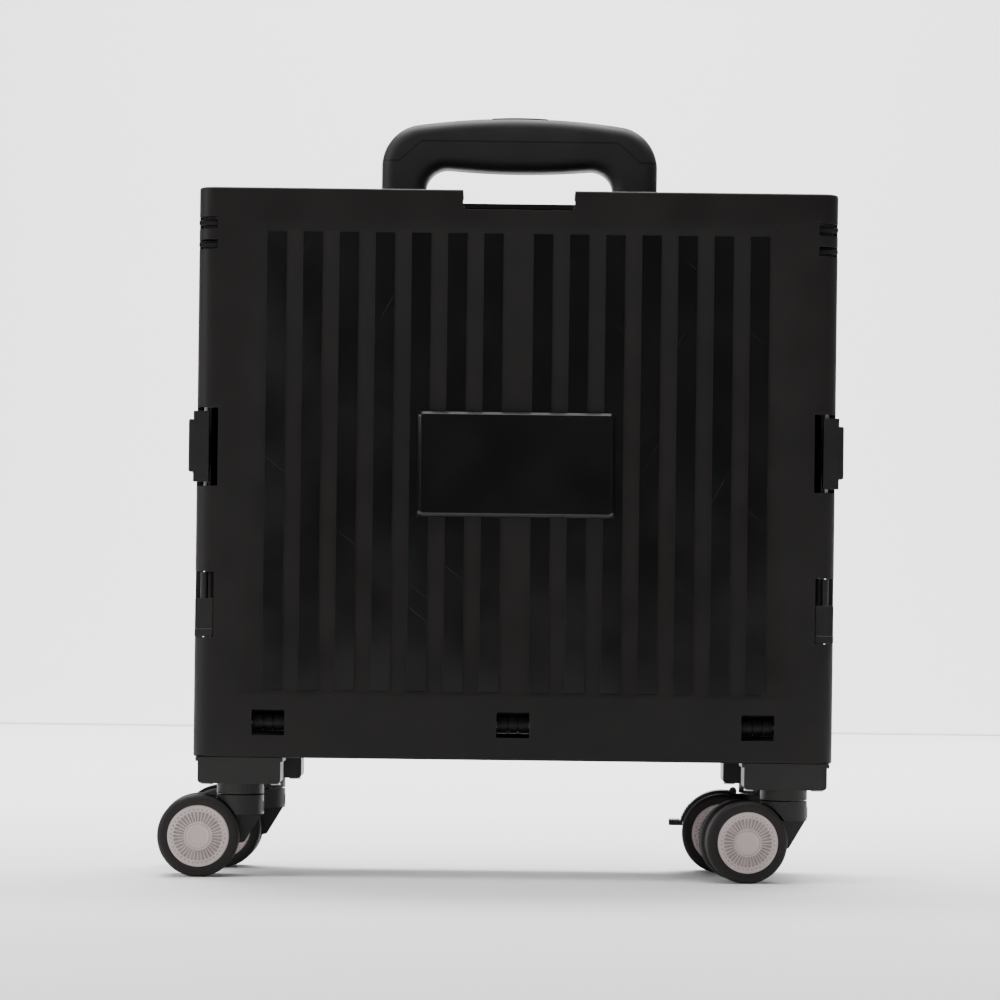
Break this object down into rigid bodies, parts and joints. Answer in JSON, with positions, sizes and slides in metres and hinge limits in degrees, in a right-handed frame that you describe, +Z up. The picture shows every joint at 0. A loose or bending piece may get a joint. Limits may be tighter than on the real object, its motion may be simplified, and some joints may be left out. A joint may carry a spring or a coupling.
{
  "type": "folding crate trolley",
  "caption": "Folding crate trolley, shown folded flat, with a telescopic push-button handle, hinged side walls, side latches and swivelling twin-wheel casters with brakes.",
  "frame": {"origin": "on the floor, midway between the two panels and the two sides of the folded trolley", "axes": "+Z up, the front panel faces -Y, the rear panel with the handle faces +Y, +X to the right seen from the front"},
  "size_m": [0.4163, 0.114, 0.4753],
  "materials": {
    "abs_panel": "black ABS, fine matte grain",
    "abs_gloss": "polished black ABS",
    "abs_hinge": "black ABS clip mouldings",
    "abs_button": "black ABS button",
    "pp_handle": "black polypropylene, satin",
    "nylon_caster": "black glass-filled nylon",
    "tpr_tyre": "thermoplastic rubber tread",
    "hubcap": "mauve-grey moulded hub cap",
    "steel_pin": "plain steel",
    "zinc_screw": "zinc-plated steel",
    "steel_tube": "black powder-coated steel tube",
    "aluminium_tube": "drawn aluminium tube",
    "spring_steel": "spring wire"
  },
  "bodies": {
    "rear_panel": {"rear_panel": "abs_panel", "tube_cover": "abs_panel", "cover_screws": "zinc_screw", "outer_tubes": "steel_tube", "tube_bezels": "abs_hinge", "rear_corner_pins": "steel_pin", "rear_caster_blocks": "nylon_caster", "rear_block_screws": "zinc_screw"},
    "left_rear_wall": {"left_rear_wall": "abs_panel", "left_mid_pin": "steel_pin"},
    "right_rear_wall": {"right_rear_wall": "abs_panel", "right_mid_pin": "steel_pin"},
    "left_front_wall": {"left_front_wall": "abs_panel"},
    "right_front_wall": {"right_front_wall": "abs_panel"},
    "front_panel": {"front_panel": "abs_panel", "label_plate": "abs_gloss", "corner_hinge_clips": "abs_hinge", "front_corner_pins": "steel_pin", "base_plate": "abs_panel", "base_hinge_rod": "steel_pin", "front_caster_blocks": "nylon_caster", "front_block_screws": "zinc_screw", "latch_pins": "steel_pin"},
    "left_latch": {"left_latch": "abs_hinge"},
    "right_latch": {"right_latch": "abs_hinge"},
    "middle_stage": {"middle_tubes": "aluminium_tube", "middle_collars": "abs_hinge"},
    "handle": {"inner_tubes": "aluminium_tube", "lock_housings": "abs_hinge", "handle_upper_shell": "pp_handle", "handle_lower_shell": "pp_handle", "handle_screws": "zinc_screw", "button_spring": "spring_steel"},
    "button": {"push_button": "abs_button", "release_yoke": "steel_pin"},
    "left_lock_pin": {"left_lock_pin": "steel_pin"},
    "right_lock_pin": {"right_lock_pin": "steel_pin"},
    "front_left_fork": {"front_left_fork": "nylon_caster", "front_left_stem": "steel_pin"},
    "front_left_wheels": {"front_left_axle": "steel_pin", "front_left_tyres": "tpr_tyre", "front_left_hubs": "hubcap"},
    "front_right_fork": {"front_right_fork": "nylon_caster", "front_right_stem": "steel_pin"},
    "front_right_wheels": {"front_right_axle": "steel_pin", "front_right_tyres": "tpr_tyre", "front_right_hubs": "hubcap"},
    "rear_left_fork": {"rear_left_fork": "nylon_caster", "rear_left_stem": "steel_pin"},
    "rear_left_wheels": {"rear_left_axle": "steel_pin", "rear_left_tyres": "tpr_tyre", "rear_left_hubs": "hubcap"},
    "rear_left_brake": {"rear_left_brake_pedal": "nylon_caster"},
    "rear_right_fork": {"rear_right_fork": "nylon_caster", "rear_right_stem": "steel_pin"},
    "rear_right_wheels": {"rear_right_axle": "steel_pin", "rear_right_tyres": "tpr_tyre", "rear_right_hubs": "hubcap"},
    "rear_right_brake": {"rear_right_brake_pedal": "nylon_caster"}
  },
  "joints": [
    {"name": "side_fold", "type": "hinge", "parent": "rear_panel", "child": "left_rear_wall", "pos_m": [-0.187, 0.008, 0.25], "axis": [0, 0, -1], "range_deg": [0, 90]},
    {"name": "left_mid_fold", "type": "hinge", "parent": "left_rear_wall", "child": "left_front_wall", "pos_m": [-0.039, 0, 0.25], "axis": [0, 0, 1], "range_deg": [0, 180]},
    {"name": "front_panel_fold", "type": "hinge", "parent": "left_front_wall", "child": "front_panel", "pos_m": [-0.187, -0.008, 0.25], "axis": [0, 0, -1], "range_deg": [0, 90]},
    {"name": "right_rear_fold", "type": "hinge", "parent": "rear_panel", "child": "right_rear_wall", "pos_m": [0.187, 0.008, 0.25], "axis": [0, 0, 1], "range_deg": [0, 90]},
    {"name": "right_mid_fold", "type": "hinge", "parent": "right_rear_wall", "child": "right_front_wall", "pos_m": [0.039, 0, 0.25], "axis": [0, 0, -1], "range_deg": [0, 180]},
    {"name": "left_latch_swing", "type": "hinge", "parent": "front_panel", "child": "left_latch", "pos_m": [-0.189, -0.046, 0.262], "axis": [0, 0, 1], "range_deg": [0, 60]},
    {"name": "right_latch_swing", "type": "hinge", "parent": "front_panel", "child": "right_latch", "pos_m": [0.189, -0.046, 0.262], "axis": [0, 0, -1], "range_deg": [0, 60]},
    {"name": "middle_stage_slide", "type": "slide", "parent": "rear_panel", "child": "middle_stage", "axis": [0, 0, 1], "range_m": [0, 0.27]},
    {"name": "handle_slide", "type": "slide", "parent": "middle_stage", "child": "handle", "axis": [0, 0, 1], "range_m": [0, 0.27]},
    {"name": "button_press", "type": "slide", "parent": "handle", "child": "button", "axis": [0, 0, -1], "range_m": [0, 0.003], "stiffness_N_per_m": 600, "springref_m": -0.004, "deforming": ["button_spring"]},
    {"name": "left_lock_travel", "type": "slide", "parent": "handle", "child": "left_lock_pin", "axis": [1, 0, 0], "range_m": [0, 0.0015]},
    {"name": "right_lock_travel", "type": "slide", "parent": "handle", "child": "right_lock_pin", "axis": [-1, 0, 0], "range_m": [0, 0.0015]},
    {"name": "front_left_swivel", "type": "hinge", "parent": "front_panel", "child": "front_left_fork", "pos_m": [-0.1663, -0.037, 0.06], "axis": [0, 0, 1], "continuous": true},
    {"name": "front_left_spin", "type": "hinge", "parent": "front_left_fork", "child": "front_left_wheels", "pos_m": [-0.19127, -0.03831, 0.025], "axis": [-0.0523, 0.9986, 0], "continuous": true},
    {"name": "front_right_swivel", "type": "hinge", "parent": "front_panel", "child": "front_right_fork", "pos_m": [0.1663, -0.037, 0.06], "axis": [0, 0, 1], "continuous": true},
    {"name": "front_right_spin", "type": "hinge", "parent": "front_right_fork", "child": "front_right_wheels", "pos_m": [0.14154, -0.04048, 0.025], "axis": [-0.1392, 0.9903, 0], "continuous": true},
    {"name": "rear_left_swivel", "type": "hinge", "parent": "rear_panel", "child": "rear_left_fork", "pos_m": [-0.158, 0.037, 0.06], "axis": [0, 0, 1], "continuous": true},
    {"name": "rear_left_spin", "type": "hinge", "parent": "rear_left_fork", "child": "rear_left_wheels", "pos_m": [-0.183, 0.037, 0.025], "axis": [0, 1, 0], "continuous": true},
    {"name": "rear_left_brake_release", "type": "hinge", "parent": "rear_left_fork", "child": "rear_left_brake", "pos_m": [-0.176, 0.037, 0.0514], "axis": [0, 1, 0], "range_deg": [0, 8]},
    {"name": "rear_right_swivel", "type": "hinge", "parent": "rear_panel", "child": "rear_right_fork", "pos_m": [0.158, 0.037, 0.06], "axis": [0, 0, 1], "continuous": true},
    {"name": "rear_right_spin", "type": "hinge", "parent": "rear_right_fork", "child": "rear_right_wheels", "pos_m": [0.13303, 0.03831, 0.025], "axis": [0.0523, 0.9986, 0], "continuous": true},
    {"name": "rear_right_brake_release", "type": "hinge", "parent": "rear_right_fork", "child": "rear_right_brake", "pos_m": [0.14003, 0.03794, 0.0514], "axis": [0.0523, 0.9986, 0], "range_deg": [0, 8]}
  ],
  "couplings": [
    {"joint": "left_mid_fold", "follows": "side_fold", "ratio": 2},
    {"joint": "front_panel_fold", "follows": "side_fold", "ratio": 1},
    {"joint": "right_rear_fold", "follows": "side_fold", "ratio": 1},
    {"joint": "right_mid_fold", "follows": "side_fold", "ratio": 2},
    {"joint": "left_lock_travel", "follows": "button_press", "ratio": 0.5},
    {"joint": "right_lock_travel", "follows": "button_press", "ratio": 0.5}
  ]
}
